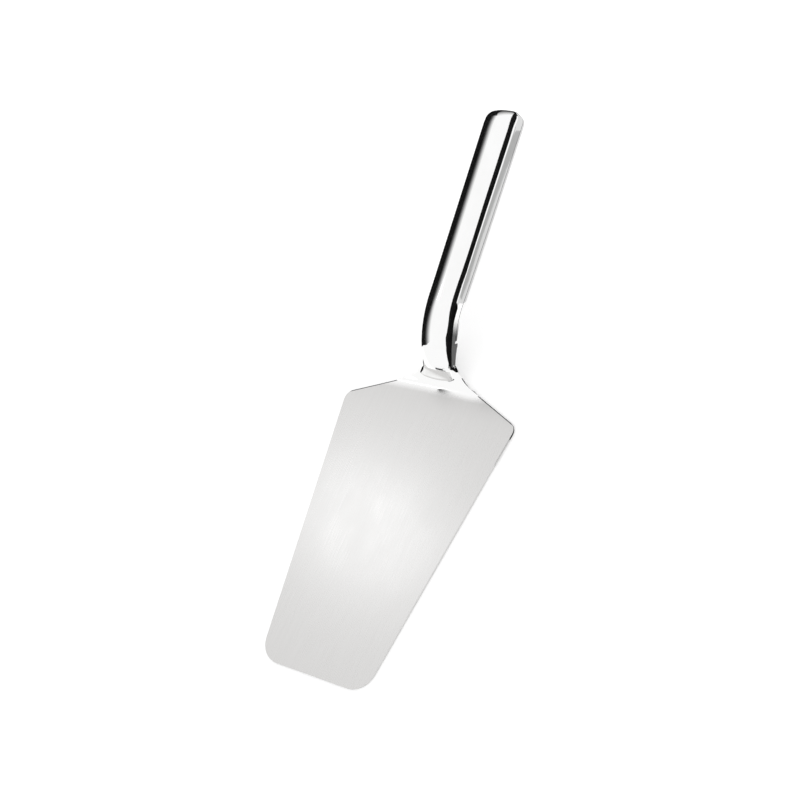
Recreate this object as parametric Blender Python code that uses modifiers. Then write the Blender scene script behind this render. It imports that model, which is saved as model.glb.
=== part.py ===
"""Flan server: a flat sheet blade with a pressed neck, and a hollow handle of two half shells.

Metres, +Z up.  The blade lies flat with its front edge at +X, and the handle rises behind it
towards -X.  Both sides of the XZ plane are alike, so each piece is drawn as half of a sheet
surface, which a Mirror modifier completes and a Solidify modifier gives its thickness.
"""
import math

import bmesh
import bpy
import numpy as np

# The blade, seen from above
OVERALL_LENGTH = 0.2738
BLADE_LENGTH = 0.133        # front edge to the line through the rear corners
FRONT_WIDTH = 0.0575
REAR_WIDTH = 0.0952
SHOULDER_SETBACK = 0.0216   # how far behind the rear corners the two shoulders would meet
FRONT_CORNER_RADIUS = 0.0110
REAR_CORNER_RADIUS = 0.0050
BLADE_THICKNESS = 0.0012
SHELL_THICKNESS = 0.0010
WELD_CLEARANCE = 0.0003     # what stays open along each welded seam

# The top line of neck and handle, seen from the side
FOOT_RADIUS = 0.0042
NECK_ANGLE = math.radians(77)
KNEE_RADIUS = 0.0055
KNEE_ANGLE = math.radians(56)    # slope where the knee over the foot ends and the long bend begins
BEND_RADIUS = 0.0440
HANDLE_ANGLE = math.radians(10.8)
BEND_END_SETBACK = 0.0448   # behind the rear corners, where the bend becomes straight
BEND_END_RISE = 0.0278      # of that point over the top of the blade
JOINT_SETBACK = 0.0235      # behind the rear corners, where the handle is welded to the neck

# The section of neck and handle
NECK_HALF_WIDTH = 0.0083
END_HALF_WIDTH = 0.0092
CROWN_RADIUS = 0.0170
TOP_BEND_RADIUS = 0.0037
UNDERSIDE_RADIUS = 0.0400
LOW_BEND_RADIUS = 0.0019
WALL_ANGLE = math.radians(88)
DEPTH_AT_NECK = 0.0104
DEPTH_AT_END = 0.0121
SEAM_HEIGHT = 0.0038        # of the seam between the half shells over the underside
END_CORNER_RADIUS = 0.0050
END_FALL_RUN = 0.0078       # how far before the end the crown starts to fall towards it
END_FALL_RADIUS = 0.0105
MOUTH_CORNER_RADIUS = 0.0031

# The pressing that turns the flat blade into the neck
PRESS_START = 0.0023        # length up the foot at which the sides begin to fold down
PRESS_FOOT_RADIUS = 0.0036  # where those walls turn out into the blade
NECK_EDGE_FLARE = 0.0010    # how much of that turn the neck keeps above the blade
SHOULDER_BLEND = 0.0056     # rounding of the outline between shoulder and neck
NECK_WALL = 0.0004          # straight wall of the section where the press has just closed
NECK_DEPTH = 0.0088         # of the neck's side walls, where the handle is welded to it
FOLD_CURVE = 1.75           # 1 folds the sides down evenly, more folds them sooner

SATIN_STEEL = (0.78, 0.78, 0.77, 1.0)
POLISHED_STEEL = (0.86, 0.86, 0.86, 1.0)

# How finely the curves are divided
CORNER_STEPS = 6
SIDE_STEPS = 5
FOOT_STEPS = 9
NECK_STEPS = 6
BEND_STEPS = 7
HANDLE_STEPS = 4
CROWN_STEPS = 4
WALL_STEPS = 2
PRESS_STEPS = (4, 5, 3, 5, 4)       # crown, top bend, side wall, foot, flat blade
LEAST_STEP = 0.00035
FINE_STEP = 0.00005
MERGE_DISTANCE = 0.000001
QUARTER_TURN = math.pi / 2
ACROSS = np.array((0, 1))

# Radii of the crowned faces, towards the end and across
TOP_CROWN = np.array((END_FALL_RADIUS, CROWN_RADIUS))
LOW_CROWN = np.array((UNDERSIDE_RADIUS, UNDERSIDE_RADIUS))

FRONT_X = OVERALL_LENGTH / 2
CORNER_X = FRONT_X - BLADE_LENGTH
APEX_X = CORNER_X - SHOULDER_SETBACK
SIDE_ANGLE = math.atan((REAR_WIDTH - FRONT_WIDTH) / (2 * BLADE_LENGTH))
SHOULDER_ANGLE = math.atan(REAR_WIDTH / (2 * SHOULDER_SETBACK))

# The top line is an arc at the foot, a steep straight, the knee, the bend and the straight handle
FOOT_ARC = FOOT_RADIUS * NECK_ANGLE
KNEE_ARC = KNEE_RADIUS * (NECK_ANGLE - KNEE_ANGLE)
BEND_ARC = BEND_RADIUS * (KNEE_ANGLE - HANDLE_ANGLE)
FOOT_RISE = FOOT_RADIUS * (1 - math.cos(NECK_ANGLE))
KNEE_RISE = KNEE_RADIUS * (math.cos(KNEE_ANGLE) - math.cos(NECK_ANGLE))
BEND_RISE = BEND_RADIUS * (math.cos(HANDLE_ANGLE) - math.cos(KNEE_ANGLE))
NECK_STRAIGHT = (BEND_END_RISE - FOOT_RISE - KNEE_RISE - BEND_RISE) / math.sin(NECK_ANGLE)
NECK_RUN = (FOOT_RADIUS * math.sin(NECK_ANGLE) + NECK_STRAIGHT * math.cos(NECK_ANGLE)
            + KNEE_RADIUS * (math.sin(NECK_ANGLE) - math.sin(KNEE_ANGLE))
            + BEND_RADIUS * (math.sin(KNEE_ANGLE) - math.sin(HANDLE_ANGLE)))
BEND_END = FOOT_ARC + NECK_STRAIGHT + KNEE_ARC + BEND_ARC
FOOT_X = CORNER_X - BEND_END_SETBACK + NECK_RUN
TOP_LINE = ((FOOT_ARC, NECK_ANGLE), (NECK_STRAIGHT, 0), (KNEE_ARC, KNEE_ANGLE - NECK_ANGLE),
            (BEND_ARC, HANDLE_ANGLE - KNEE_ANGLE))      # length and turn of each part


def clear_scene():
    for thing in list(bpy.data.objects):
        bpy.data.objects.remove(thing, do_unlink=True)


def steel(name, colour, roughness):
    material = bpy.data.materials.new(name)
    material.use_nodes = True
    shader = material.node_tree.nodes["Principled BSDF"]
    shader.inputs["Base Color"].default_value = colour
    shader.inputs["Metallic"].default_value = 1.0
    shader.inputs["Roughness"].default_value = roughness
    material.diffuse_color = colour
    return material


def reach_of(rising, target, low, high):
    """Where a rising function passes a target."""
    while high - low > MERGE_DISTANCE:
        middle = (low + high) / 2
        if rising(middle) < target:
            low = middle
        else:
            high = middle
    return (low + high) / 2


def top_line(along):
    """Place and slope of the top line, at a length back from the foot of the neck."""
    x = FOOT_X
    z = BLADE_THICKNESS
    angle = 0
    for length, turn in TOP_LINE:
        share = min(along / length, 1)
        following = angle + turn * share
        if turn:
            x -= length / turn * (math.sin(following) - math.sin(angle))
            z += length / turn * (math.cos(angle) - math.cos(following))
        else:
            x -= length * share * math.cos(angle)
            z += length * share * math.sin(angle)
        angle = following
        along = max(along - length, 0)
    x -= along * math.cos(angle)
    z += along * math.sin(angle)
    return x, z, angle


def below_top_line(along, across, down):
    """World point at a length along the top line, across it, and square down from it."""
    x, z, angle = top_line(along)
    return (x - down * math.sin(angle), across, z - down * math.cos(angle))


JOINT = reach_of(lambda along: -top_line(along)[0], JOINT_SETBACK - CORNER_X, 0, BEND_END)
# The end wall leans back, so the rounded lower edge of the end reaches furthest
END_LEAN = ((DEPTH_AT_END - LOW_BEND_RADIUS) * math.sin(HANDLE_ANGLE)
            + LOW_BEND_RADIUS * (1 - math.cos(HANDLE_ANGLE)))
STRAIGHT_RUN = FRONT_X + CORNER_X - BEND_END_SETBACK - END_LEAN
END = BEND_END + STRAIGHT_RUN / math.cos(HANDLE_ANGLE)


def share_of_handle(along):
    return min(max((along - JOINT) / (END - JOINT), 0), 1)


def half_width(along):
    return NECK_HALF_WIDTH + (END_HALF_WIDTH - NECK_HALF_WIDTH) * share_of_handle(along)


def depth(along):
    return DEPTH_AT_END - (DEPTH_AT_END - DEPTH_AT_NECK) * (1 - share_of_handle(along)) ** 3


def crown(place, radii):
    """The crown's depth under the top line, and how steeply it falls along and across."""
    offset = np.array((max(place[0] - END + END_FALL_RUN, 0), place[1]))
    heights = np.sqrt(radii ** 2 - offset ** 2)
    return np.sum(radii - heights), offset / heights


def bend_start(side, outward, bottom, crown_radii, bend_radius):
    """Where the bend over a side wall starts on the crown.

    side is the foot of the wall seen from above, outward the way it faces, and bottom its depth
    under the top line.  Returns the place, the crown's slope there, its depth there and the
    wall's slant length.
    """
    slope = 0
    wall = bottom / 2
    for _ in range(CORNER_STEPS):
        inset = (bend_radius * (math.sin(WALL_ANGLE) - math.sin(slope))
                 + wall * math.cos(WALL_ANGLE))
        place = side - outward * inset
        drop, fall = crown(place, crown_radii)
        slope = math.atan(fall @ outward)
        bend_drop = bend_radius * (math.cos(slope) - math.cos(WALL_ANGLE))
        wall = (bottom - drop - bend_drop) / math.sin(WALL_ANGLE)
    return place, slope, drop, wall


def press_section(width, bottom, press):
    """The sheet pressed across the neck, as a curve from its middle outwards.

    bottom is the depth of the side walls when the press has closed.  The slopes are then taken
    press times, so that a press of 0 leaves the blade flat.  Returns the lengths at which
    crown, bend, wall and foot end, and the curve as lengths, places across and depths.
    """
    side = np.array((0, width))
    edge, drop, wall = bend_start(side, ACROSS, bottom, TOP_CROWN, TOP_BEND_RADIUS)[1:]
    crown_end = CROWN_RADIUS * edge
    bend_end = crown_end + TOP_BEND_RADIUS * (WALL_ANGLE - edge)
    wall_end = bend_end + wall
    foot_end = wall_end + PRESS_FOOT_RADIUS * WALL_ANGLE
    ends = (crown_end, bend_end, wall_end, foot_end)
    lengths = np.arange(0, REAR_WIDTH, FINE_STEP)
    slopes = press * np.interp(lengths, (0,) + ends, (0, edge, WALL_ANGLE, WALL_ANGLE, 0))
    middles = (slopes[1:] + slopes[:-1]) / 2
    across = np.concatenate(((0,), np.cumsum(np.cos(middles)))) * FINE_STEP
    down = np.concatenate(((0,), np.cumsum(np.sin(middles)))) * FINE_STEP
    return ends, lengths, across, down


def spread(ends, reach):
    """Lengths of the points across a pressed section that is cut off at reach."""
    spans = []
    start = 0
    for end, count in zip(ends + (reach,), PRESS_STEPS):
        spans.append(max(min(end, reach) - start, LEAST_STEP * count))
        start = min(end, reach)
    scale = reach / sum(spans)
    places = [0]
    for span, count in zip(spans, PRESS_STEPS):
        start = places[-1]
        places += [start + span * scale * step / count for step in range(1, count + 1)]
    return places


def rounded_corner(turn_from, turn_to, corner, radius):
    """Arc that rounds a corner between two edges, whose normals point at the given turns."""
    first = np.array((math.cos(turn_from), math.sin(turn_from)))
    last = np.array((math.cos(turn_to), math.sin(turn_to)))
    centre = np.array(corner) - radius * (first + last) / (1 + first @ last)
    turns = np.linspace(turn_from, turn_to, CORNER_STEPS + 1)
    normals = np.stack((np.cos(turns), np.sin(turns)), axis=1)
    return centre + radius * normals, normals


def shoulder_half_width(x):
    return (x - APEX_X) * math.tan(SHOULDER_ANGLE)


def blade_outline():
    """Points of the outline from the front edge back to the foot of the neck."""
    front = rounded_corner(0, QUARTER_TURN - SIDE_ANGLE, (FRONT_X, FRONT_WIDTH / 2),
                           FRONT_CORNER_RADIUS)[0]
    rear = rounded_corner(QUARTER_TURN - SIDE_ANGLE, QUARTER_TURN + SHOULDER_ANGLE,
                          (CORNER_X, REAR_WIDTH / 2), REAR_CORNER_RADIUS)[0]
    foot = np.array((FOOT_X, shoulder_half_width(FOOT_X)))
    side = np.linspace(front[-1], rear[0], SIDE_STEPS + 1)
    shoulder = np.linspace(rear[-1], foot, SIDE_STEPS + 1)
    return np.concatenate((front, side[1:-1], rear, shoulder[1:]))


def flat_rows():
    ends = press_section(NECK_HALF_WIDTH, LEAST_BOTTOM, 0)[0]
    return [[(x, place, BLADE_THICKNESS) for place in spread(ends, reach)]
            for x, reach in blade_outline()]


def smooth_larger(first, second):
    """The larger of two lengths, with the change from one to the other rounded."""
    rounded = max(SHOULDER_BLEND - abs(first - second), 0) ** 2 / (4 * SHOULDER_BLEND)
    return max(first, second) + rounded


def pressed(along, fold, bottom, flare, press):
    """The pressed section at a place along the top line, how far out it reaches, and its fold."""
    x, z, angle = top_line(along)
    ends, lengths, across, down = press_section(NECK_HALF_WIDTH, bottom, press)
    taken_up = ends[-1] - np.interp(ends[-1], lengths, across)
    shoulder = shoulder_half_width(x - fold * math.sin(angle)) + taken_up
    reach = smooth_larger(shoulder, ends[2] + flare)
    return ends, lengths, across, down, reach, np.interp(reach, lengths, down)


def fold_depth(along):
    """How far the folded sides reach down under the top line."""
    share = max(along - PRESS_START, 0) / (JOINT - PRESS_START)
    return NECK_DEPTH * (1 - (1 - share) ** FOLD_CURVE)


LEAST_BOTTOM = reach_of(
    lambda bottom: bend_start(np.array((0, NECK_HALF_WIDTH)), ACROSS, bottom, TOP_CROWN,
                              TOP_BEND_RADIUS)[3], NECK_WALL, 0, NECK_DEPTH)
CLOSED = reach_of(
    lambda along: fold_depth(along) - pressed(along, fold_depth(along), LEAST_BOTTOM,
                                              NECK_EDGE_FLARE, 1)[5], 0, PRESS_START, JOINT)


def neck_row(along):
    """One line of points across the neck, square to the top line."""
    fold = fold_depth(along)
    lifted = max((along - CLOSED) / (JOINT - CLOSED), 0)
    bottom = LEAST_BOTTOM + (NECK_DEPTH - LEAST_BOTTOM) * lifted
    flare = NECK_EDGE_FLARE * (1 - lifted)
    press = 1
    if lifted == 0:
        press = reach_of(lambda trial: pressed(along, fold, bottom, flare, trial)[5],
                         fold, 0, 1)
    ends, lengths, across, down, reach = pressed(along, fold, bottom, flare, press)[:5]
    return [below_top_line(along, np.interp(place, lengths, across),
                           np.interp(place, lengths, down))
            for place in spread(ends, reach)]


def neck_rows():
    foot = np.linspace(0, CLOSED, FOOT_STEPS + 1)[1:]
    neck = np.linspace(CLOSED, JOINT, NECK_STEPS + 1)[1:]
    return [neck_row(along) for along in np.concatenate((foot, neck))]


def side_path(start):
    """Outline of the handle from above: the side from start, the end corner and the end.

    Each point has its outward normal and the place on the middle line that it is joined to.
    """
    corner_width = half_width(END - END_CORNER_RADIUS)
    corner, normals = rounded_corner(QUARTER_TURN, 0, (END, corner_width), END_CORNER_RADIUS)
    bend = np.linspace(start, BEND_END, BEND_STEPS + 1)
    straight = np.linspace(BEND_END, corner[0][0], HANDLE_STEPS + 1)[1:-1]
    path = [(np.array((along, half_width(along))), ACROSS, along)
            for along in np.concatenate((bend, straight))]
    path += [(place, normal, corner[0][0]) for place, normal in zip(corner, normals)]
    for step in range(1, CROWN_STEPS + 1):
        place = np.array((END, corner[-1][1] * (1 - step / CROWN_STEPS)))
        path.append((place, normals[-1], corner[0][0]))
    return path


def shell_row(side, outward, middle, rim, crown_radii, bend_radius):
    """Points of a half shell from its middle line to its rim: along, across and down."""
    start, slope, drop, wall = bend_start(side, outward, rim, crown_radii, bend_radius)
    row = []
    for step in range(CROWN_STEPS):
        place = np.array((middle, 0)) + (start - np.array((middle, 0))) * step / CROWN_STEPS
        row.append((place[0], place[1], crown(place, crown_radii)[0]))
    for turn in np.linspace(slope, WALL_ANGLE, CORNER_STEPS + 1):
        place = start + outward * bend_radius * (math.sin(turn) - math.sin(slope))
        down = drop + bend_radius * (math.cos(slope) - math.cos(turn))
        row.append((place[0], place[1], down))
    for step in range(1, WALL_STEPS + 1):
        fallen = wall * step / WALL_STEPS
        row.append((place[0] + outward[0] * fallen * math.cos(WALL_ANGLE),
                    place[1] + outward[1] * fallen * math.cos(WALL_ANGLE),
                    down + fallen * math.sin(WALL_ANGLE)))
    return row


def upper_shell_rows():
    rows = []
    for side, outward, middle in side_path(JOINT + WELD_CLEARANCE):
        rim = depth(side[0]) - SEAM_HEIGHT
        row = shell_row(side, outward, middle, rim, TOP_CROWN, TOP_BEND_RADIUS)
        rows.append([below_top_line(*point) for point in row])
    return rows


def mouth_path():
    """Outline of the lower shell's front wall from above, from its middle to the side."""
    front = JOINT + WELD_CLEARANCE
    width = half_width(front)
    corner, normals = rounded_corner(2 * QUARTER_TURN, QUARTER_TURN, (front, width),
                                     MOUTH_CORNER_RADIUS)
    middle = front + width
    path = []
    for step in range(CROWN_STEPS):
        place = np.array((front, corner[0][1] * step / CROWN_STEPS))
        path.append((place, normals[0], middle))
    path += [(place, normal, middle) for place, normal in zip(corner, normals)]
    return path


def room_in_upper_shell(across, along):
    """Depth under the crown at which the lower shell's front wall ends."""
    width = half_width(along)
    inset = SHELL_THICKNESS + WELD_CLEARANCE
    rim = depth(along) - SEAM_HEIGHT
    if across > width - inset:
        return rim + WELD_CLEARANCE
    start, slope, drop = bend_start(np.array((along, width)), ACROSS, rim, TOP_CROWN,
                                    TOP_BEND_RADIUS)[:3]
    if across < start[1]:
        return inset + crown((along, across), TOP_CROWN)[0]
    centre_down = drop + TOP_BEND_RADIUS * math.cos(slope)
    centre_across = start[1] - TOP_BEND_RADIUS * math.sin(slope)
    radius = TOP_BEND_RADIUS - inset
    return centre_down - math.sqrt(max(radius ** 2 - (across - centre_across) ** 2, 0))


def lower_shell_rows():
    mouth = mouth_path()
    side = [(place, outward, max(middle, mouth[0][2]))
            for place, outward, middle in side_path(mouth[-1][0][0])[1:]]
    rows = []
    for place, outward, middle in mouth + side:
        if outward[0] < 0:
            top = room_in_upper_shell(place[1], place[0])
        else:
            top = depth(place[0]) - SEAM_HEIGHT + WELD_CLEARANCE
        row = shell_row(place, outward, middle, depth(place[0]) - top, LOW_CROWN,
                        LOW_BEND_RADIUS)
        rows.append([below_top_line(along, across, depth(along) - down)
                     for along, across, down in row])
    return rows


def sheet(name, rows, thickness, faces_down, material, collection):
    """A piece of sheet from the lines of points across one half of its outer surface."""
    mesh = bpy.data.meshes.new(name)
    shape = bmesh.new()
    lines = [[shape.verts.new(point) for point in row] for row in rows]
    for line, following in zip(lines[:-1], lines[1:]):
        for step in range(len(line) - 1):
            corners = [line[step], line[step + 1], following[step + 1], following[step]]
            shape.faces.new(reversed(corners) if faces_down else corners)
    bmesh.ops.remove_doubles(shape, verts=shape.verts, dist=MERGE_DISTANCE)
    bmesh.ops.dissolve_degenerate(shape, edges=shape.edges, dist=MERGE_DISTANCE)
    shape.to_mesh(mesh)
    shape.free()
    mesh.shade_smooth()
    mesh.materials.append(material)
    piece = bpy.data.objects.new(name, mesh)
    collection.objects.link(piece)
    mirror = piece.modifiers.new("other side", "MIRROR")
    mirror.use_axis = (False, True, False)
    mirror.use_clip = True
    mirror.merge_threshold = MERGE_DISTANCE
    solid = piece.modifiers.new("thickness", "SOLIDIFY")
    solid.thickness = thickness
    solid.offset = -1
    solid.use_even_offset = True
    return piece


def blade(collection):
    material = steel("satin steel", SATIN_STEEL, 0.34)
    return sheet("blade", flat_rows() + neck_rows(), BLADE_THICKNESS, False, material,
                 collection)


def handle_upper_shell(collection):
    material = steel("polished steel", POLISHED_STEEL, 0.05)
    return sheet("handle_upper_shell", upper_shell_rows(), SHELL_THICKNESS, False, material,
                 collection)


def handle_lower_shell(collection):
    material = steel("polished underside", POLISHED_STEEL, 0.07)
    return sheet("handle_lower_shell", lower_shell_rows(), SHELL_THICKNESS, True, material,
                 collection)


def main():
    clear_scene()
    collection = bpy.data.collections.new("flan_server")
    bpy.context.scene.collection.children.link(collection)
    blade(collection)
    handle_upper_shell(collection)
    handle_lower_shell(collection)


main()
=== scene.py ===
"""Flan server: the dressed model, with smooth steel sheets, a weld, a studio and a camera.

Every shape repeats the named sizes of the part's source, with finer steps and rounded edges.
Lengths are in metres, and angles in radians unless it says otherwise.
"""
import math

import bmesh
import bpy
import numpy as np
from mathutils import Euler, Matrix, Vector


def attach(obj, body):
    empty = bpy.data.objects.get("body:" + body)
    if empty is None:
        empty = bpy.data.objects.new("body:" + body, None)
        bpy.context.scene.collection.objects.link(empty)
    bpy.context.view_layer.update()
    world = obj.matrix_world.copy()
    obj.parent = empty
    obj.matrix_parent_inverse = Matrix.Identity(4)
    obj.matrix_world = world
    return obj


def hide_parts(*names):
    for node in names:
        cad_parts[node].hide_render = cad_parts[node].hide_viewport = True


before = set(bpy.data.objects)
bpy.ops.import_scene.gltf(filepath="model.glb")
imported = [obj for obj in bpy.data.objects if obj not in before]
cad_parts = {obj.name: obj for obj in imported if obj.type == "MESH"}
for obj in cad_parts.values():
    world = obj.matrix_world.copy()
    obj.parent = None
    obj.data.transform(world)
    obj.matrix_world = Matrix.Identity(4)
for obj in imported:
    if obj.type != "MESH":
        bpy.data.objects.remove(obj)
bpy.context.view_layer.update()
BODY = "root"

# The blade, seen from above
OVERALL_LENGTH = 0.2738
BLADE_LENGTH = 0.133
FRONT_WIDTH = 0.0575
REAR_WIDTH = 0.0952
SHOULDER_SETBACK = 0.0216
FRONT_CORNER_RADIUS = 0.0110
REAR_CORNER_RADIUS = 0.0050
BLADE_THICKNESS = 0.0012
SHELL_THICKNESS = 0.0010
WELD_CLEARANCE = 0.0003

# The top line of neck and handle, seen from the side
FOOT_RADIUS = 0.0042
NECK_ANGLE = math.radians(77)
KNEE_RADIUS = 0.0055
KNEE_ANGLE = math.radians(56)   # slope where the knee ends and the long bend begins
BEND_RADIUS = 0.0440
HANDLE_ANGLE = math.radians(10.8)
BEND_END_SETBACK = 0.0448
BEND_END_RISE = 0.0278
JOINT_SETBACK = 0.0235

# The section of neck and handle
NECK_HALF_WIDTH = 0.0083
END_HALF_WIDTH = 0.0092
CROWN_RADIUS = 0.0170
TOP_BEND_RADIUS = 0.0037
UNDERSIDE_RADIUS = 0.0400
LOW_BEND_RADIUS = 0.0019
WALL_ANGLE = math.radians(88)
DEPTH_AT_NECK = 0.0104
DEPTH_AT_END = 0.0121
DEPTH_CURVE = 3             # 1 deepens the handle evenly, more deepens it near the neck
SEAM_HEIGHT = 0.0038
END_CORNER_RADIUS = 0.0050
END_FALL_RUN = 0.0078
END_FALL_RADIUS = 0.0105
MOUTH_CORNER_RADIUS = 0.0031

# The pressing that turns the flat blade into the neck
PRESS_START = 0.0023        # length up the foot at which the sides begin to fold down
PRESS_FOOT_RADIUS = 0.0036
NECK_EDGE_FLARE = 0.0010
SHOULDER_BLEND = 0.0056     # rounding of the outline between shoulder and neck
NECK_WALL = 0.0004          # straight wall of the section where the press has just closed
NECK_DEPTH = 0.0088         # of the neck's side walls, where the handle is welded to it
FOLD_CURVE = 1.75           # 1 folds the sides down evenly, more folds them sooner

# How finely the curves are divided
CORNER_STEPS = 14
SIDE_STEPS = 16
FOOT_STEPS = 36
NECK_STEPS = 16
BEND_STEPS = 36
HANDLE_STEPS = 30
CROWN_STEPS = 14
WALL_STEPS = 4
PRESS_STEPS = (12, 14, 6, 14, 12)
LEAST_STEP = 0.00012
FINE_STEP = 0.00005
MERGE_DISTANCE = 0.000001
SEARCH_STEP = 0.000001      # at which a search by halves stops
SETTLING_ROUNDS = 14        # in which the start of a bend is found
QUARTER_TURN = math.pi / 2
ACROSS = np.array((0, 1))

# The ground weld between neck and handle
WELD_HALF_WIDTH = 0.0013
WELD_RISE = 0.000012        # how far its middle stands over the steel
WELD_SINK = 0.00003         # how far its edges run in under the steel
WELD_THICKNESS = 0.0004
WELD_EDGE_ROUNDING = 0.00005
WELD_STEPS = 8

# Rounded sheet edges
BLADE_EDGE_ROUNDING = 0.00045
SHELL_EDGE_ROUNDING = 0.00045
EDGE_ROUNDING_STEPS = 3
LEAST_EDGE_ANGLE = math.radians(60)     # sharper turns than this are rounded

# Grain, scratches and clouds: counts per metre along x, y and z, and levels of fine detail
BLADE_GRAIN = (60, 5200, 5200)
BLADE_CLOUDS = (22, 30, 30)
HANDLE_SCRATCHES = (90, 4200, 4200)
HANDLE_CLOUDS = (45, 60, 60)
GRAIN_DETAIL = 4.0
SOFT_DETAIL = 3.0
NOISE_ROUGHNESS = 0.6
# The stretch of each noise over which it takes effect
BLADE_NOISE_SPAN = (0.3, 0.7)
SCRATCH_SPAN = (0.45, 0.75)
HANDLE_CLOUD_SPAN = (0.35, 0.65)

# Satin steel of the blade.  Where a value is a pair, noise takes it from one to the other
SATIN_TINTS = ((0.65, 0.643, 0.635, 1), (0.70, 0.693, 0.687, 1))
SATIN_ROUGHNESS = (0.255, 0.305)
SATIN_CLOUDING = 0.02           # how far the clouds change the roughness, up and down
NECK_ROUGHENING = 0.09          # added roughness at the neck's foot
NECK_ROUGH_REACH = 0.022        # how far forward of the foot it has gone
GRAIN_STRENGTH = (0.25, 0.02)   # on the satin steel and on the polished foot
GRAIN_DEPTH = 0.00004

# The polished foot of the neck
POLISH_COLOUR = (0.96, 0.96, 0.957, 1)
POLISH_ROUGHNESS = 0.07
POLISH_WIDTH = 0.0005           # how far forward of the foot it is fully polished
POLISH_REACH = 0.0048           # how far forward it has turned into satin
POLISH_LEAN = 3.0               # how far its border moves forward for each length of rise
POLISH_WAVE = 0.002             # how far the clouds bend its border

# The painted reflection on the shoulders' cut edge: a dark colour painted into the steel in
# place of a dark reflection
PAINTED_EDGE_REFLECTION_COLOUR = (0.03, 0.03, 0.03, 1)
PAINTED_EDGE_REFLECTION_WIDTH = 0.00025        # inwards from the shoulder's line
PAINTED_EDGE_REFLECTION_REACH = 0.00055        # where it has faded out
PAINTED_EDGE_REFLECTION_RISE = 0.00002         # over the face, where it ends on the rising neck

# Polished steel of the handle and the weld
HANDLE_TINTS = ((0.94, 0.94, 0.935, 1), (0.97, 0.97, 0.97, 1))
POLISHED_ROUGHNESS = 0.05
UNDERSIDE_ROUGHNESS = 0.06
SCRATCH_ROUGHENING = 0.05
HANDLE_CLOUDING = (-0.01, 0.015)        # how far the clouds change the roughness
SCRATCH_STRENGTH = 0.03
SCRATCH_DEPTH = 0.00002

# Floor, world and lamp
WHITE = (1, 1, 1, 1)
FLOOR_REACH = 3.0               # from its middle to each side
FLOOR_LEVEL = -0.0002           # a little under the blade, so that the two never coincide
FLOOR_TONE = 0.8
FLOOR_ROUGHNESS = 0.9
FLOOR_LIFT = 0.32               # own light of the floor, which makes it white when seen
WORLD_STRENGTH = 1.0
HIGHLIGHT_PLACE = (-0.067, -0.338, 0.479)
HIGHLIGHT_TARGET = (0.064, -0.009, 0.0012)
HIGHLIGHT_SIZE = 0.06
HIGHLIGHT_POWER = 0.037
HIGHLIGHT_COLOUR = (0.97, 0.985, 1.0)

# Camera, as the photo was taken: its place from the middle of the blade's rear line
CAMERA_PLACE = (0.19967861, 0.35048574, 0.50860313)
CAMERA_TURN = (31.1065, 25.5917, 115.6832)      # degrees
CAMERA_LENS = 63                                # millimetres, as the sensor
CAMERA_SENSOR = 36
CAMERA_NEAREST = 0.01

# The studio's cards, which the steel mirrors, some of them painted shade and shadow on the
# floor: tones, places, outlines and where they thin out
BLACK_CARD = 0.012
# Tone of the painted shadow of the neck and right shoulder on the floor
NECK_SHADOW_TONE = 0.15
# Tone of the painted shadow of the handle on the floor
HANDLE_SHADOW_TONE = 0.45
LIGHT_CARD = 0.76
CARD_ROUGHNESS = 1.0
LEFT_FLAG_Y = -0.0125
RIGHT_FLAG_Y = 0.0125
LOW_FLAG_X = 0.30
END_FLAG_X = -0.45
FLOOR_CARD_HEIGHT = 0.001
LIGHT_CARD_HEIGHT = 0.0006
EDGE_CARD_HEIGHT = 0.0002
# Along the object, in x and z
LEFT_FLAG = (
    (-0.40, 0.0), (-0.150, 0.0), (-0.146, 0.0383), (-0.1294, 0.0388), (-0.0985, 0.0337),
    (-0.0622, 0.0275), (-0.0502, 0.0254), (-0.0447, 0.0226), (-0.0384, 0.0222),
    (-0.0330, 0.0196), (-0.0278, 0.0170), (-0.0226, 0.0140), (-0.0208, 0.0125),
    (-0.0172, 0.0172), (-0.0145, 0.0205), (0.0, 0.045), (-0.03, 0.12), (-0.135, 0.14),
    (-0.138, 0.064), (-0.146, 0.052), (-0.156, 0.047), (-0.40, 0.047))
LEFT_FLAG_FADES = ((0.169, 0.0268, 0.0380), (0.64, 0.0098, 0.0225))
RIGHT_FLAG = (
    (-0.0150, 0.0060), (-0.0190, 0.0078), (-0.0242, 0.0108), (-0.0285, 0.0137),
    (-0.0304, 0.0152), (-0.0321, 0.0172), (-0.0344, 0.0189), (-0.0407, 0.0192),
    (-0.0411, 0.0261), (-0.0441, 0.0270), (-0.0499, 0.0283), (-0.0560, 0.0287),
    (-0.0617, 0.0302), (-0.0735, 0.0326), (-0.0853, 0.0351), (-0.0972, 0.0373),
    (-0.1092, 0.0396), (-0.1213, 0.0420), (-0.1274, 0.0437), (-0.1413, 0.0448),
    (-0.50, 0.10), (-0.50, 0.385), (-0.1303, 0.0705), (-0.1234, 0.0700),
    (-0.1176, 0.0698), (-0.1109, 0.0670), (-0.1047, 0.0653), (-0.0983, 0.0629),
    (-0.0919, 0.0599), (-0.0855, 0.0555), (-0.0792, 0.0519), (-0.0730, 0.0485),
    (-0.0669, 0.0464), (-0.0609, 0.0448), (-0.0550, 0.0455), (-0.0492, 0.0475),
    (-0.0430, 0.0459), (-0.0387, 0.0425), (-0.0344, 0.0395), (-0.0310, 0.0353),
    (-0.0287, 0.0310), (-0.0256, 0.0284), (-0.0220, 0.0271), (-0.0165, 0.0282),
    (-0.0152, 0.0225), (-0.0143, 0.0184), (-0.0132, 0.0145), (-0.0128, 0.0110),
    (-0.0132, 0.0060))
# Across the object, in y and z
LOW_FLAG = ((-0.150, 0.012), (-0.150, 0.040), (0.010, 0.050), (0.010, 0.012))
END_FLAG = (
    (-0.030, 0.0), (-0.030, 0.200), (0.0, 0.30), (0.02, 0.335), (0.06, 0.38), (0.13, 0.48),
    (0.13, 0.0))
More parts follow.
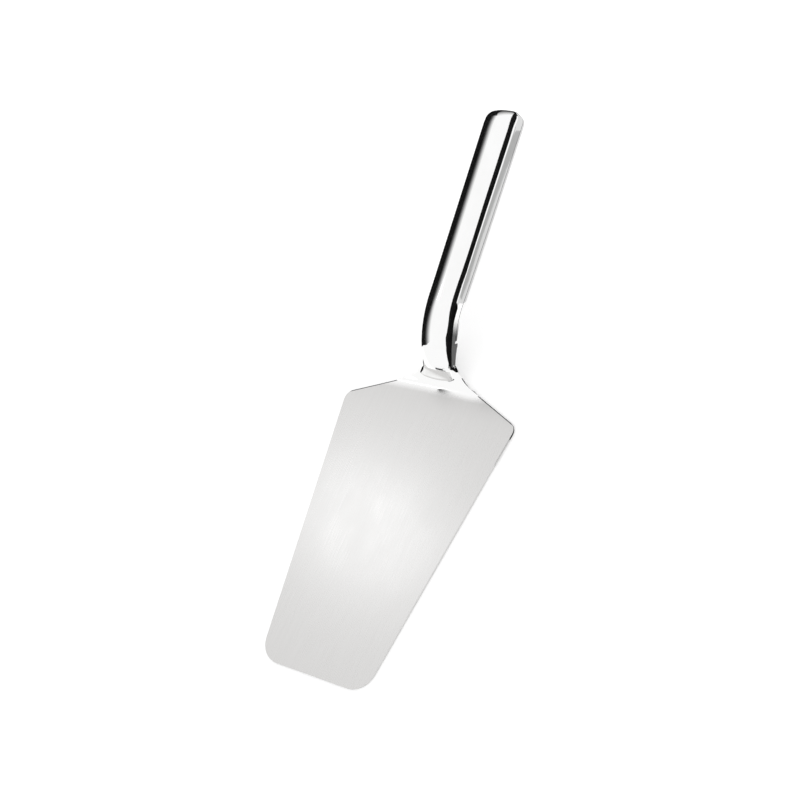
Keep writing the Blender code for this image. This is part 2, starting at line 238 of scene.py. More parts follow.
# Standing slanted, far to the left and behind, in x, y and z
FAR_FLAG = (
    (-0.226, -1.286, 0.0), (-0.226, -1.286, 0.95), (-1.306, 0.0, 0.95), (-1.306, 0.0, 0.0))
FAR_FLAG_FADES = ((0.0, -0.05, 0.9),)
# Lying close over the floor, in x and y
# Black strips along the blade's shoulder and edges: painted shade beside the edges, seen only
# in reflections
SHOULDER_SHADE_STRIP = (
    (-0.0125, -0.0125), (-0.0040, -0.0325), (-0.0045, -0.0375), (-0.0150, -0.0170))
LEFT_EDGE_SHADE_STRIP = (
    (-0.0050, -0.0240), (0.0050, -0.0440), (0.030, -0.0400), (0.030, -0.0490),
    (-0.0005, -0.0540), (-0.0115, -0.0280))
RIGHT_EDGE_SHADE_STRIP = (
    (-0.0050, 0.0250), (0.0060, 0.0440), (0.0100, 0.0450), (0.0100, 0.0520),
    (-0.0005, 0.0540), (-0.0115, 0.0290))
RIGHT_FLOOR_FLAG = (
    (-0.050, 0.032), (-0.043, 0.034), (-0.036, 0.034), (-0.020, 0.045), (0.004, 0.050),
    (0.10, 0.10), (0.10, 0.13), (-0.066, 0.13), (-0.056, 0.066))
# Painted shadow of the neck and the right shoulder on the floor, seen only in reflections
NECK_SHADOW_CARD = (
    (-0.046, 0.014), (-0.046, 0.034), (-0.036, 0.034), (-0.020, 0.045), (0.004, 0.050),
    (0.10, 0.10), (0.030, 0.050), (-0.002, 0.025), (-0.010, 0.012))
NECK_SHADOW_CARD_FADES = ((-1.0, 0.035, 0.046),)
LIGHT_FLOOR_CARD = (
    (-0.053, 0.0), (-0.053, 0.20), (-0.60, 0.60), (-0.60, -0.05), (-0.16, -0.03),
    (-0.13, 0.0))
# Painted shadow of the handle on the floor, seen only in reflections
HANDLE_SHADOW_CARD = (
    (-0.055, 0.0275), (-0.066, 0.0285), (-0.089, 0.0325), (-0.113, 0.0353),
    (-0.131, 0.0373), (-0.143, 0.0370), (-0.154, 0.0350), (-0.156, 0.060),
    (-0.190, 0.128), (-0.085, 0.128), (-0.062, 0.060))

# The crown's radii lengthwise and across, at the top and underneath
TOP_CROWN = np.array((END_FALL_RADIUS, CROWN_RADIUS))
LOW_CROWN = np.array((UNDERSIDE_RADIUS, UNDERSIDE_RADIUS))

FRONT_X = OVERALL_LENGTH / 2
CORNER_X = FRONT_X - BLADE_LENGTH
APEX_X = CORNER_X - SHOULDER_SETBACK
SIDE_ANGLE = math.atan((REAR_WIDTH - FRONT_WIDTH) / (2 * BLADE_LENGTH))
SHOULDER_ANGLE = math.atan(REAR_WIDTH / (2 * SHOULDER_SETBACK))
# The top line: an arc at the foot, a steep straight, the knee, the bend, the straight handle
FOOT_ARC = FOOT_RADIUS * NECK_ANGLE
KNEE_ARC = KNEE_RADIUS * (NECK_ANGLE - KNEE_ANGLE)
BEND_ARC = BEND_RADIUS * (KNEE_ANGLE - HANDLE_ANGLE)
FOOT_RISE = FOOT_RADIUS * (1 - math.cos(NECK_ANGLE))
KNEE_RISE = KNEE_RADIUS * (math.cos(KNEE_ANGLE) - math.cos(NECK_ANGLE))
BEND_RISE = BEND_RADIUS * (math.cos(HANDLE_ANGLE) - math.cos(KNEE_ANGLE))
NECK_STRAIGHT = (BEND_END_RISE - FOOT_RISE - KNEE_RISE - BEND_RISE) / math.sin(NECK_ANGLE)
NECK_RUN = (FOOT_RADIUS * math.sin(NECK_ANGLE) + NECK_STRAIGHT * math.cos(NECK_ANGLE)
            + KNEE_RADIUS * (math.sin(NECK_ANGLE) - math.sin(KNEE_ANGLE))
            + BEND_RADIUS * (math.sin(KNEE_ANGLE) - math.sin(HANDLE_ANGLE)))
BEND_END = FOOT_ARC + NECK_STRAIGHT + KNEE_ARC + BEND_ARC
FOOT_X = CORNER_X - BEND_END_SETBACK + NECK_RUN
TOP_LINE = ((FOOT_ARC, NECK_ANGLE), (NECK_STRAIGHT, 0), (KNEE_ARC, KNEE_ANGLE - NECK_ANGLE),
            (BEND_ARC, HANDLE_ANGLE - KNEE_ANGLE))      # length and turn of each part


def reach_of(rising, target, low, high):
    """Where a rising function passes a target."""
    while high - low > SEARCH_STEP:
        middle = (low + high) / 2
        if rising(middle) < target:
            low = middle
        else:
            high = middle
    return (low + high) / 2


def top_line(along):
    """Place and slope of the top line, at a length back from the foot of the neck."""
    x = FOOT_X
    z = BLADE_THICKNESS
    angle = 0
    for length, turn in TOP_LINE:
        share = min(along / length, 1)
        following = angle + turn * share
        if turn:
            x -= length / turn * (math.sin(following) - math.sin(angle))
            z += length / turn * (math.cos(angle) - math.cos(following))
        else:
            x -= length * share * math.cos(angle)
            z += length * share * math.sin(angle)
        angle = following
        along = max(along - length, 0)
    x -= along * math.cos(angle)
    z += along * math.sin(angle)
    return x, z, angle


def below_top_line(along, across, down):
    """World point at a length along the top line, across it, and square down from it."""
    x, z, angle = top_line(along)
    return (x - down * math.sin(angle), across, z - down * math.cos(angle))


JOINT = reach_of(lambda along: -top_line(along)[0], JOINT_SETBACK - CORNER_X, 0, BEND_END)
END_LEAN = ((DEPTH_AT_END - LOW_BEND_RADIUS) * math.sin(HANDLE_ANGLE)
            + LOW_BEND_RADIUS * (1 - math.cos(HANDLE_ANGLE)))
STRAIGHT_RUN = FRONT_X + CORNER_X - BEND_END_SETBACK - END_LEAN
END = BEND_END + STRAIGHT_RUN / math.cos(HANDLE_ANGLE)


def share_of_handle(along):
    """0 at the joint with the neck, and 1 at the handle's end."""
    return min(max((along - JOINT) / (END - JOINT), 0), 1)


def half_width(along):
    return NECK_HALF_WIDTH + (END_HALF_WIDTH - NECK_HALF_WIDTH) * share_of_handle(along)


def depth(along):
    lack = (1 - share_of_handle(along)) ** DEPTH_CURVE
    return DEPTH_AT_END - (DEPTH_AT_END - DEPTH_AT_NECK) * lack


def crown(place, radii):
    """The crown's depth under the top line, and how steeply it falls along and across."""
    offset = np.array((max(place[0] - END + END_FALL_RUN, 0), place[1]))
    heights = np.sqrt(radii ** 2 - offset ** 2)
    return np.sum(radii - heights), offset / heights


def bend_start(side, outward, bottom, crown_radii, bend_radius):
    """Where the bend over a side wall starts on the crown.

    side is the foot of the wall seen from above, outward the way it faces, and bottom its
    depth under the top line.  Returns the place, the crown's slope there, its depth there and
    the wall's slant length.
    """
    slope = 0
    wall = bottom / 2
    for _ in range(SETTLING_ROUNDS):
        inset = (bend_radius * (math.sin(WALL_ANGLE) - math.sin(slope))
                 + wall * math.cos(WALL_ANGLE))
        place = side - outward * inset
        drop, fall = crown(place, crown_radii)
        slope = math.atan(fall @ outward)
        bend_drop = bend_radius * (math.cos(slope) - math.cos(WALL_ANGLE))
        wall = (bottom - drop - bend_drop) / math.sin(WALL_ANGLE)
    return place, slope, drop, wall


def press_section(width, bottom, press):
    """The sheet pressed across the neck, as a curve from its middle outwards.

    bottom is the depth of the side walls when the press has closed.  The slopes are then taken
    press times, so that a press of 0 leaves the blade flat.  Returns the lengths at which
    crown, bend, wall and foot end, and the curve as lengths, places across and depths.
    """
    side = np.array((0, width))
    edge, drop, wall = bend_start(side, ACROSS, bottom, TOP_CROWN, TOP_BEND_RADIUS)[1:]
    crown_end = CROWN_RADIUS * edge
    bend_end = crown_end + TOP_BEND_RADIUS * (WALL_ANGLE - edge)
    wall_end = bend_end + wall
    foot_end = wall_end + PRESS_FOOT_RADIUS * WALL_ANGLE
    ends = (crown_end, bend_end, wall_end, foot_end)
    lengths = np.arange(0, REAR_WIDTH, FINE_STEP)
    slopes = press * np.interp(lengths, (0,) + ends, (0, edge, WALL_ANGLE, WALL_ANGLE, 0))
    middles = (slopes[1:] + slopes[:-1]) / 2
    across = np.concatenate(((0,), np.cumsum(np.cos(middles)))) * FINE_STEP
    down = np.concatenate(((0,), np.cumsum(np.sin(middles)))) * FINE_STEP
    return ends, lengths, across, down


def spread(ends, reach):
    """Lengths of the points across a pressed section that is cut off at reach."""
    spans = []
    start = 0
    for end, count in zip(ends + (reach,), PRESS_STEPS):
        spans.append(max(min(end, reach) - start, LEAST_STEP * count))
        start = min(end, reach)
    scale = reach / sum(spans)
    places = [0]
    for span, count in zip(spans, PRESS_STEPS):
        start = places[-1]
        places += [start + span * scale * step / count for step in range(1, count + 1)]
    return places


def rounded_corner(turn_from, turn_to, corner, radius):
    """Arc that rounds a corner between two edges, whose normals point at the given turns."""
    first = np.array((math.cos(turn_from), math.sin(turn_from)))
    last = np.array((math.cos(turn_to), math.sin(turn_to)))
    centre = np.array(corner) - radius * (first + last) / (1 + first @ last)
    turns = np.linspace(turn_from, turn_to, CORNER_STEPS + 1)
    normals = np.stack((np.cos(turns), np.sin(turns)), axis=1)
    return centre + radius * normals, normals


def shoulder_half_width(x):
    return (x - APEX_X) * math.tan(SHOULDER_ANGLE)


def blade_outline():
    """Points of the outline from the front edge back to the foot of the neck."""
    front = rounded_corner(0, QUARTER_TURN - SIDE_ANGLE, (FRONT_X, FRONT_WIDTH / 2),
                           FRONT_CORNER_RADIUS)[0]
    rear = rounded_corner(QUARTER_TURN - SIDE_ANGLE, QUARTER_TURN + SHOULDER_ANGLE,
                          (CORNER_X, REAR_WIDTH / 2), REAR_CORNER_RADIUS)[0]
    foot = np.array((FOOT_X, shoulder_half_width(FOOT_X)))
    side = np.linspace(front[-1], rear[0], SIDE_STEPS + 1)
    shoulder = np.linspace(rear[-1], foot, SIDE_STEPS + 1)
    return np.concatenate((front, side[1:-1], rear, shoulder[1:]))


def flat_rows():
    """Lines of points across the flat blade."""
    ends = press_section(NECK_HALF_WIDTH, LEAST_BOTTOM, 0)[0]
    return [[(x, place, BLADE_THICKNESS) for place in spread(ends, reach)]
            for x, reach in blade_outline()]


def smooth_larger(first, second):
    """The larger of two lengths, with the change from one to the other rounded."""
    rounded = max(SHOULDER_BLEND - abs(first - second), 0) ** 2 / (4 * SHOULDER_BLEND)
    return max(first, second) + rounded


def pressed(along, fold, bottom, flare, press):
    """The pressed section at a place along the top line.

    It comes with how far out it reaches and how deep its edge lies there.
    """
    x, z, angle = top_line(along)
    ends, lengths, across, down = press_section(NECK_HALF_WIDTH, bottom, press)
    taken_up = ends[-1] - np.interp(ends[-1], lengths, across)
    shoulder = shoulder_half_width(x - fold * math.sin(angle)) + taken_up
    reach = smooth_larger(shoulder, ends[2] + flare)
    return ends, lengths, across, down, reach, np.interp(reach, lengths, down)


def fold_depth(along):
    """How far the folded sides reach down under the top line."""
    share = max(along - PRESS_START, 0) / (JOINT - PRESS_START)
    return NECK_DEPTH * (1 - (1 - share) ** FOLD_CURVE)


# The least depth of a closed section, and the length up the foot at which the press closes
LEAST_BOTTOM = reach_of(
    lambda bottom: bend_start(np.array((0, NECK_HALF_WIDTH)), ACROSS, bottom, TOP_CROWN,
                              TOP_BEND_RADIUS)[3], NECK_WALL, 0, NECK_DEPTH)
CLOSED = reach_of(
    lambda along: fold_depth(along) - pressed(along, fold_depth(along), LEAST_BOTTOM,
                                              NECK_EDGE_FLARE, 1)[5], 0, PRESS_START, JOINT)


def neck_row(along):
    """One line of points across the neck, square to the top line."""
    fold = fold_depth(along)
    lifted = max((along - CLOSED) / (JOINT - CLOSED), 0)
    bottom = LEAST_BOTTOM + (NECK_DEPTH - LEAST_BOTTOM) * lifted
    flare = NECK_EDGE_FLARE * (1 - lifted)
    press = 1
    if lifted == 0:
        press = reach_of(lambda trial: pressed(along, fold, bottom, flare, trial)[5],
                         fold, 0, 1)
    ends, lengths, across, down, reach = pressed(along, fold, bottom, flare, press)[:5]
    return [below_top_line(along, np.interp(place, lengths, across),
                           np.interp(place, lengths, down))
            for place in spread(ends, reach)]


def neck_rows():
    """Lines of points from the blade's flat end to the handle."""
    foot = np.linspace(0, CLOSED, FOOT_STEPS + 1)[1:]
    neck = np.linspace(CLOSED, JOINT, NECK_STEPS + 1)[1:]
    return [neck_row(along) for along in np.concatenate((foot, neck))]


def side_path(start):
    """Outline of the handle from above: the side from start, the end corner and the end.

    Each point has its outward normal and the place on the middle line that it is joined to.
    """
    corner_width = half_width(END - END_CORNER_RADIUS)
    corner, normals = rounded_corner(QUARTER_TURN, 0, (END, corner_width), END_CORNER_RADIUS)
    bend = np.linspace(start, BEND_END, BEND_STEPS + 1)
    straight = np.linspace(BEND_END, corner[0][0], HANDLE_STEPS + 1)[1:-1]
    path = [(np.array((along, half_width(along))), ACROSS, along)
            for along in np.concatenate((bend, straight))]
    path += [(place, normal, corner[0][0]) for place, normal in zip(corner, normals)]
    for step in range(1, CROWN_STEPS + 1):
        place = np.array((END, corner[-1][1] * (1 - step / CROWN_STEPS)))
        path.append((place, normals[-1], corner[0][0]))
    return path


def shell_row(side, outward, middle, rim, crown_radii, bend_radius):
    """Points of a half shell from its middle line to its rim: along, across and down."""
    start, slope, drop, wall = bend_start(side, outward, rim, crown_radii, bend_radius)
    row = []
    for step in range(CROWN_STEPS):
        place = np.array((middle, 0)) + (start - np.array((middle, 0))) * step / CROWN_STEPS
        row.append((place[0], place[1], crown(place, crown_radii)[0]))
    for turn in np.linspace(slope, WALL_ANGLE, CORNER_STEPS + 1):
        place = start + outward * bend_radius * (math.sin(turn) - math.sin(slope))
        down = drop + bend_radius * (math.cos(slope) - math.cos(turn))
        row.append((place[0], place[1], down))
    for step in range(1, WALL_STEPS + 1):
        fallen = wall * step / WALL_STEPS
        row.append((place[0] + outward[0] * fallen * math.cos(WALL_ANGLE),
                    place[1] + outward[1] * fallen * math.cos(WALL_ANGLE),
                    down + fallen * math.sin(WALL_ANGLE)))
    return row


def upper_shell_rows():
    """Lines of points over the upper half of the handle."""
    rows = []
    for side, outward, middle in side_path(JOINT + WELD_CLEARANCE):
        rim = depth(side[0]) - SEAM_HEIGHT
        row = shell_row(side, outward, middle, rim, TOP_CROWN, TOP_BEND_RADIUS)
        rows.append([below_top_line(*point) for point in row])
    return rows


def mouth_path():
    """Outline of the lower shell's front wall from above, from its middle to the side."""
    front = JOINT + WELD_CLEARANCE
    width = half_width(front)
    corner, normals = rounded_corner(2 * QUARTER_TURN, QUARTER_TURN, (front, width),
                                     MOUTH_CORNER_RADIUS)
    middle = front + width
    path = []
    for step in range(CROWN_STEPS):
        place = np.array((front, corner[0][1] * step / CROWN_STEPS))
        path.append((place, normals[0], middle))
    path += [(place, normal, middle) for place, normal in zip(corner, normals)]
    return path


def room_in_upper_shell(across, along):
    """Depth under the crown at which the lower shell's front wall ends."""
    width = half_width(along)
    inset = SHELL_THICKNESS + WELD_CLEARANCE
    rim = depth(along) - SEAM_HEIGHT
    if across > width - inset:
        return rim + WELD_CLEARANCE
    start, slope, drop = bend_start(np.array((along, width)), ACROSS, rim, TOP_CROWN,
                                    TOP_BEND_RADIUS)[:3]
    if across < start[1]:
        return inset + crown((along, across), TOP_CROWN)[0]
    centre_down = drop + TOP_BEND_RADIUS * math.cos(slope)
    centre_across = start[1] - TOP_BEND_RADIUS * math.sin(slope)
    radius = TOP_BEND_RADIUS - inset
    return centre_down - math.sqrt(max(radius ** 2 - (across - centre_across) ** 2, 0))


def lower_shell_rows():
    """Lines of points over the lower half, which closes the handle's front."""
    mouth = mouth_path()
    side = [(place, outward, max(middle, mouth[0][2]))
            for place, outward, middle in side_path(mouth[-1][0][0])[1:]]
    rows = []
    for place, outward, middle in mouth + side:
        if outward[0] < 0:
            top = room_in_upper_shell(place[1], place[0])
        else:
            top = depth(place[0]) - SEAM_HEIGHT + WELD_CLEARANCE
        row = shell_row(place, outward, middle, depth(place[0]) - top, LOW_CROWN,
                        LOW_BEND_RADIUS)
        rows.append([below_top_line(along, across, depth(along) - down)
                     for along, across, down in row])
    return rows


def neck_weld_rows():
    """Outer surface of the weld, flush with the neck in front and the upper shell behind."""
    overlap = NECK_DEPTH - DEPTH_AT_NECK + SEAM_HEIGHT
    rows = []
    for share in np.linspace(-1, 1, WELD_STEPS + 1):
        along = JOINT + WELD_CLEARANCE / 2 + share * WELD_HALF_WIDTH
        width = NECK_HALF_WIDTH + overlap / math.tan(WALL_ANGLE) * (share + 1) / 2
        lift = WELD_RISE - (WELD_RISE + WELD_SINK) * share ** 2
        ends, lengths, across, down = press_section(width, NECK_DEPTH, 1)
        outward = np.gradient(down, lengths)
        upward = np.gradient(across, lengths)
        outward[0] = 0
        across = across + lift * outward
        down = down - lift * upward
        rows.append([below_top_line(along, np.interp(place, lengths, across),
                                    np.interp(place, lengths, down))
                     for place in spread(ends, ends[2])])
    return rows


def new_object(name, data):
    piece = bpy.data.objects.new(name, data)
    bpy.context.scene.collection.objects.link(piece)
    return piece


def sheet(name, rows, thickness, rounding, faces_down, material, node=None):
    """A piece of sheet from the lines of points across one half of its outer surface."""
    mesh = bpy.data.meshes.new(name)
    shape = bmesh.new()
    lines = [[shape.verts.new(point) for point in row] for row in rows]
    for line, following in zip(lines[:-1], lines[1:]):
        for step in range(len(line) - 1):
            corners = [line[step], line[step + 1], following[step + 1], following[step]]
            shape.faces.new(reversed(corners) if faces_down else corners)
    bmesh.ops.remove_doubles(shape, verts=shape.verts, dist=MERGE_DISTANCE)
    bmesh.ops.dissolve_degenerate(shape, edges=shape.edges, dist=MERGE_DISTANCE)
    shape.to_mesh(mesh)
    shape.free()
    mesh.shade_smooth()
    mesh.materials.append(material)
    piece = new_object(name, mesh)
    mirror = piece.modifiers.new("other side", "MIRROR")
    mirror.use_axis = (False, True, False)
    mirror.use_clip = True
    mirror.merge_threshold = MERGE_DISTANCE
    solid = piece.modifiers.new("thickness", "SOLIDIFY")
    solid.thickness = thickness
    solid.offset = -1
    solid.use_even_offset = True
    edge = piece.modifiers.new("rounded edge", "BEVEL")
    edge.width = rounding
    edge.segments = EDGE_ROUNDING_STEPS
    edge.limit_method = "ANGLE"
    edge.angle_limit = LEAST_EDGE_ANGLE
    shading = piece.modifiers.new("even shading", "WEIGHTED_NORMAL")
    shading.mode = "FACE_AREA_WITH_ANGLE"
    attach(piece, BODY)
    if node:
        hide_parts(node)


class Nodes:
    """Adds shader nodes to a material, with short calls."""

    def __init__(self, tree):
        self.tree = tree

    def put(self, socket, value):
        """Links another node's output to a socket, or sets the socket to a plain value."""
        if isinstance(value, bpy.types.NodeSocket):
            self.tree.links.new(value, socket)
        else:
            socket.default_value = value

    def add(self, kind, **inputs):
        node = self.tree.nodes.new(kind)
        for name, value in inputs.items():
            self.put(node.inputs[name.replace("_", " ")], value)
        return node

    def place(self):
        """The x, y and z of the point that is shaded."""
        place = self.add("ShaderNodeTexCoord").outputs["Object"]
        return self.add("ShaderNodeSeparateXYZ", Vector=place).outputs

    def noise(self, scales, detail):
        """Noise drawn out along some axes, from its counts per metre along each."""
        place = self.add("ShaderNodeTexCoord").outputs["Object"]
        mapping = self.add("ShaderNodeMapping", Vector=place, Scale=scales)
        noise = self.add("ShaderNodeTexNoise", Vector=mapping.outputs[0], Scale=1.0,
                         Detail=detail, Roughness=NOISE_ROUGHNESS)
        return noise.outputs["Fac"]

    def maths(self, operation, first, second=0.0, third=0.0):
        node = self.tree.nodes.new("ShaderNodeMath")
        node.operation = operation
        for socket, value in zip(node.inputs, (first, second, third)):
            self.put(socket, value)
        return node.outputs[0]

    def ranged(self, value, low, high, to_low, to_high, interpolation="LINEAR"):
        """Goes from to_low to to_high as a value goes from low to high."""
        node = self.tree.nodes.new("ShaderNodeMapRange")
        node.interpolation_type = interpolation
        for name, setting in (("Value", value), ("From Min", low), ("From Max", high),
                              ("To Min", to_low), ("To Max", to_high)):
            self.put(node.inputs[name], setting)
        return node.outputs[0]

    def faded(self, value, start, end, full=1.0):
        """Falls smoothly from full to 0 as a value goes from start to end."""
        return self.ranged(value, start, end, full, 0.0, "SMOOTHSTEP")

    def mixed_colour(self, share, first, last):
        """Goes from the first colour to the last as share goes from 0 to 1."""
        node = self.tree.nodes.new("ShaderNodeMix")
        node.data_type = "RGBA"
        factor, first_colour, last_colour = [
            socket for socket in node.inputs if socket.enabled]
        self.put(factor, share)
        self.put(first_colour, first)
        self.put(last_colour, last)
        return next(socket for socket in node.outputs if socket.enabled)


def new_material(name):
    material = bpy.data.materials.new(name)
    material.use_nodes = True
    return material, Nodes(material.node_tree), material.node_tree.nodes["Principled BSDF"]


def make_steel(nodes, shader, colour, roughness, relief, strength, depth):
    """Turns a shader into steel whose surface follows a relief, such as grain."""
    bump = nodes.add("ShaderNodeBump", Strength=strength, Distance=depth, Height=relief)
    nodes.put(shader.inputs["Base Color"], colour)
    nodes.put(shader.inputs["Roughness"], roughness)
    nodes.put(shader.inputs["Normal"], bump.outputs[0])
    nodes.put(shader.inputs["Metallic"], 1.0)


def make_matt(nodes, shader, tone, roughness):
    """Turns a shader into a grey that doesn't shine."""
    nodes.put(shader.inputs["Base Color"], (tone, tone, tone, 1))
    nodes.put(shader.inputs["Roughness"], roughness)
    nodes.put(shader.inputs["Specular IOR Level"], 0.0)


def painted_edge_reflection(nodes, place):
    """1 along the cut edge of the two shoulders, where a dark reflection is painted, 0 on the
    face and on the neck.
    """
    widening = math.tan(SHOULDER_ANGLE)
    outline = nodes.maths("MULTIPLY_ADD", place["X"], widening, -APEX_X * widening)
    inset = nodes.maths("SUBTRACT", outline, nodes.maths("ABSOLUTE", place["Y"]))
    inset = nodes.maths("MULTIPLY", inset, math.cos(SHOULDER_ANGLE))
    near = nodes.faded(inset, PAINTED_EDGE_REFLECTION_WIDTH, PAINTED_EDGE_REFLECTION_REACH)
    low = nodes.faded(place["Z"], BLADE_THICKNESS, BLADE_THICKNESS + PAINTED_EDGE_REFLECTION_RISE)
    return nodes.maths("MULTIPLY", near, low)


def blade_steel():
    """Brushed satin steel that turns polished at the foot of the neck."""
    material, nodes, shader = new_material("satin steel")
    grain = nodes.noise(BLADE_GRAIN, GRAIN_DETAIL)
    clouds = nodes.noise(BLADE_CLOUDS, SOFT_DETAIL)
    place = nodes.place()
    from_neck = nodes.maths("MULTIPLY_ADD", place["Z"], -POLISH_LEAN, place["X"])
    from_neck = nodes.maths("MULTIPLY_ADD", clouds, POLISH_WAVE, from_neck)
    foot = FOOT_X - POLISH_LEAN * BLADE_THICKNESS
    polish = nodes.faded(from_neck, foot + POLISH_WIDTH, foot + POLISH_REACH)
    satin = nodes.ranged(grain, *BLADE_NOISE_SPAN, *SATIN_ROUGHNESS)
    satin = nodes.maths("ADD", satin, nodes.ranged(clouds, *BLADE_NOISE_SPAN,
                                                   -SATIN_CLOUDING, SATIN_CLOUDING))
    satin = nodes.maths("ADD", satin, nodes.faded(from_neck, foot, foot + NECK_ROUGH_REACH,
                                                  NECK_ROUGHENING))
    roughness = nodes.add("ShaderNodeMix", Factor=polish, A=satin, B=POLISH_ROUGHNESS)
    tint = nodes.mixed_colour(nodes.ranged(grain, *BLADE_NOISE_SPAN, 0.0, 1.0), *SATIN_TINTS)
    colour = nodes.mixed_colour(polish, tint, POLISH_COLOUR)
    # A dark reflection is painted into the colour along the shoulders' cut edge
    colour = nodes.mixed_colour(painted_edge_reflection(nodes, place), colour, PAINTED_EDGE_REFLECTION_COLOUR)
    strength = nodes.ranged(polish, 0.0, 1.0, *GRAIN_STRENGTH)
    make_steel(nodes, shader, colour, roughness.outputs[0], grain, strength, GRAIN_DEPTH)
    return material


def polished_steel(name, base):
    """Mirror-polished steel with very fine scratches and slight clouds."""
    material, nodes, shader = new_material(name)
    scratches = nodes.noise(HANDLE_SCRATCHES, SOFT_DETAIL)
    clouds = nodes.noise(HANDLE_CLOUDS, SOFT_DETAIL)
    scratched = nodes.ranged(scratches, *SCRATCH_SPAN, base, base + SCRATCH_ROUGHENING)
    clouded = nodes.ranged(clouds, *HANDLE_CLOUD_SPAN, *HANDLE_CLOUDING)
    roughness = nodes.maths("ADD", scratched, clouded)
    colour = nodes.mixed_colour(nodes.ranged(clouds, *HANDLE_CLOUD_SPAN, 0.0, 1.0),
                                *HANDLE_TINTS)
    make_steel(nodes, shader, colour, roughness, scratches, SCRATCH_STRENGTH, SCRATCH_DEPTH)
    return material


def floor_material():
    """White where the camera or polished steel sees it, and it still keeps the soft shadow."""
    material, nodes, shader = new_material("white floor")
    make_matt(nodes, shader, FLOOR_TONE, FLOOR_ROUGHNESS)
    path = nodes.add("ShaderNodeLightPath").outputs
    seen = nodes.maths("MAXIMUM", path["Is Glossy Ray"], path["Is Transmission Ray"])
    seen = nodes.maths("MAXIMUM", path["Is Camera Ray"], seen)
    nodes.put(shader.inputs["Emission Color"], WHITE)
    nodes.put(shader.inputs["Emission Strength"], nodes.maths("MULTIPLY", seen, FLOOR_LIFT))
    return material


def plane(name, corners, material):
    """A flat piece of the studio."""
    mesh = bpy.data.meshes.new(name)
    mesh.from_pydata(corners, [], [tuple(range(len(corners)))])
    mesh.materials.append(material)
    piece = new_object(name, mesh)
    return piece


def add_floor():
    corners = [(x * FLOOR_REACH, y * FLOOR_REACH, FLOOR_LEVEL)
               for x, y in ((-1, -1), (1, -1), (1, 1), (-1, 1))]
    plane("floor", corners, floor_material())


def card(name, corners, tone, fades=()):
    """A matt card that is seen in glossy reflections only, and throws no shadow.

    Each fade is (share of x, start, end): the card thins out as z plus that share of x goes
    from start to end.
    """
    material, nodes, shader = new_material(name)
    make_matt(nodes, shader, tone, CARD_ROUGHNESS)
    if fades:
        place = nodes.place()
        opacity = 1.0
        for slant, start, end in fades:
            measure = nodes.maths("MULTIPLY_ADD", place["X"], slant, place["Z"])
            opacity = nodes.maths("MULTIPLY", opacity, nodes.faded(measure, start, end))
        nodes.put(shader.inputs["Alpha"], opacity)
    piece = plane(name, corners, material)
    piece.visible_camera = False
    piece.visible_diffuse = False
    piece.visible_transmission = False
    piece.visible_shadow = False


def facing(x, outline):
    """Corners of a card that stands across the object, from an outline in y and z."""
    return [(x, y, z) for y, z in outline]


def upright(y, outline):
    """Corners of a card that stands along the object, from an outline in x and z."""
    return [(x, y, z) for x, z in outline]


def flat(height, outline):
    """Corners of a card that lies over the floor, from an outline in x and y."""
    return [(x, y, height) for x, y in outline]


def add_cards():
    card("left flag", upright(LEFT_FLAG_Y, LEFT_FLAG), BLACK_CARD, LEFT_FLAG_FADES)
    card("far flag", FAR_FLAG, BLACK_CARD, FAR_FLAG_FADES)
    # Black strips along the blade's shoulder and edges: painted shade beside the edges, seen
    # only in reflections
    card("painted shoulder shade strip", flat(FLOOR_CARD_HEIGHT, SHOULDER_SHADE_STRIP), BLACK_CARD)
    card("painted left edge shade strip", flat(EDGE_CARD_HEIGHT, LEFT_EDGE_SHADE_STRIP), BLACK_CARD)
    card("painted right edge shade strip", flat(EDGE_CARD_HEIGHT, RIGHT_EDGE_SHADE_STRIP), BLACK_CARD)
    card("low flag", facing(LOW_FLAG_X, LOW_FLAG), BLACK_CARD)
    card("end flag", facing(END_FLAG_X, END_FLAG), BLACK_CARD)
    card("right flag", upright(RIGHT_FLAG_Y, RIGHT_FLAG), BLACK_CARD)
    card("right floor flag", flat(FLOOR_CARD_HEIGHT, RIGHT_FLOOR_FLAG), BLACK_CARD)
    # Painted shadow of the neck and the right shoulder on the floor, seen only in reflections
    card("painted neck shadow card", flat(FLOOR_CARD_HEIGHT, NECK_SHADOW_CARD), NECK_SHADOW_TONE,
         NECK_SHADOW_CARD_FADES)
    card("light floor card", flat(LIGHT_CARD_HEIGHT, LIGHT_FLOOR_CARD), LIGHT_CARD)
    # Painted shadow of the handle on the floor, seen only in reflections
    card("painted handle shadow card", flat(FLOOR_CARD_HEIGHT, HANDLE_SHADOW_CARD), HANDLE_SHADOW_TONE)


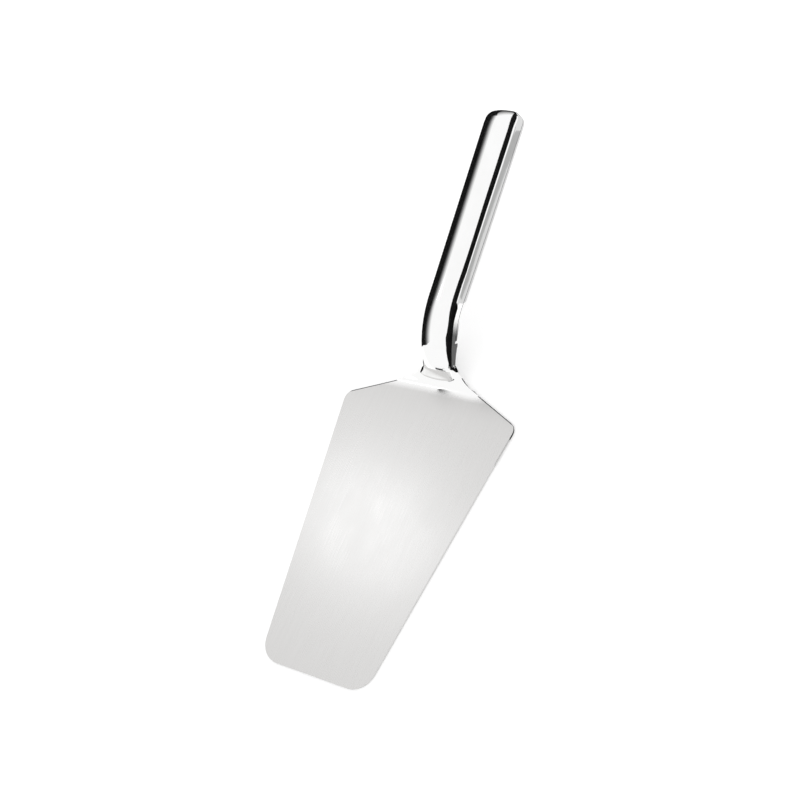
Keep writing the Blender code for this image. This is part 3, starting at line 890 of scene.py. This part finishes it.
def add_world():
    """Even white light from all sides, which is the backdrop too."""
    world = bpy.data.worlds.new("studio")
    world.use_nodes = True
    bpy.context.scene.world = world
    background = world.node_tree.nodes["Background"].inputs
    background["Color"].default_value = WHITE
    background["Strength"].default_value = WORLD_STRENGTH


def add_highlight():
    """A weak lamp that gives the satin blade its soft highlight."""
    light = bpy.data.lights.new("highlight", "AREA")
    light.shape = "DISK"
    light.size = HIGHLIGHT_SIZE
    light.energy = HIGHLIGHT_POWER
    light.color = HIGHLIGHT_COLOUR
    lamp = new_object("highlight", light)
    lamp.location = HIGHLIGHT_PLACE
    aim = Vector(HIGHLIGHT_TARGET) - Vector(HIGHLIGHT_PLACE)
    lamp.rotation_euler = aim.to_track_quat("-Z", "Y").to_euler()


def add_camera():
    data = bpy.data.cameras.new("camera")
    data.lens = CAMERA_LENS
    data.sensor_width = CAMERA_SENSOR
    data.clip_start = CAMERA_NEAREST
    camera = new_object("camera", data)
    camera.location = Vector((CORNER_X, 0, BLADE_THICKNESS)) + Vector(CAMERA_PLACE)
    camera.rotation_euler = Euler([math.radians(turn) for turn in CAMERA_TURN], "XYZ")
    bpy.context.scene.camera = camera


def add_server():
    """The blade, the two halves of the handle, and the weld that joins them to the blade."""
    sheet("serving_blade", flat_rows() + neck_rows(), BLADE_THICKNESS, BLADE_EDGE_ROUNDING,
          False, blade_steel(), "blade")
    sheet("handle_top", upper_shell_rows(), SHELL_THICKNESS, SHELL_EDGE_ROUNDING, False,
          polished_steel("polished steel", POLISHED_ROUGHNESS),
          "handle_upper_shell")
    sheet("handle_bottom", lower_shell_rows(), SHELL_THICKNESS, SHELL_EDGE_ROUNDING, True,
          polished_steel("polished underside", UNDERSIDE_ROUGHNESS),
          "handle_lower_shell")
    sheet("neck_weld", neck_weld_rows(), WELD_THICKNESS, WELD_EDGE_ROUNDING, False,
          polished_steel("ground weld", POLISHED_ROUGHNESS))


bpy.context.scene.view_settings.view_transform = "Standard"
add_camera()
add_world()
add_floor()
add_highlight()
add_cards()
add_server()
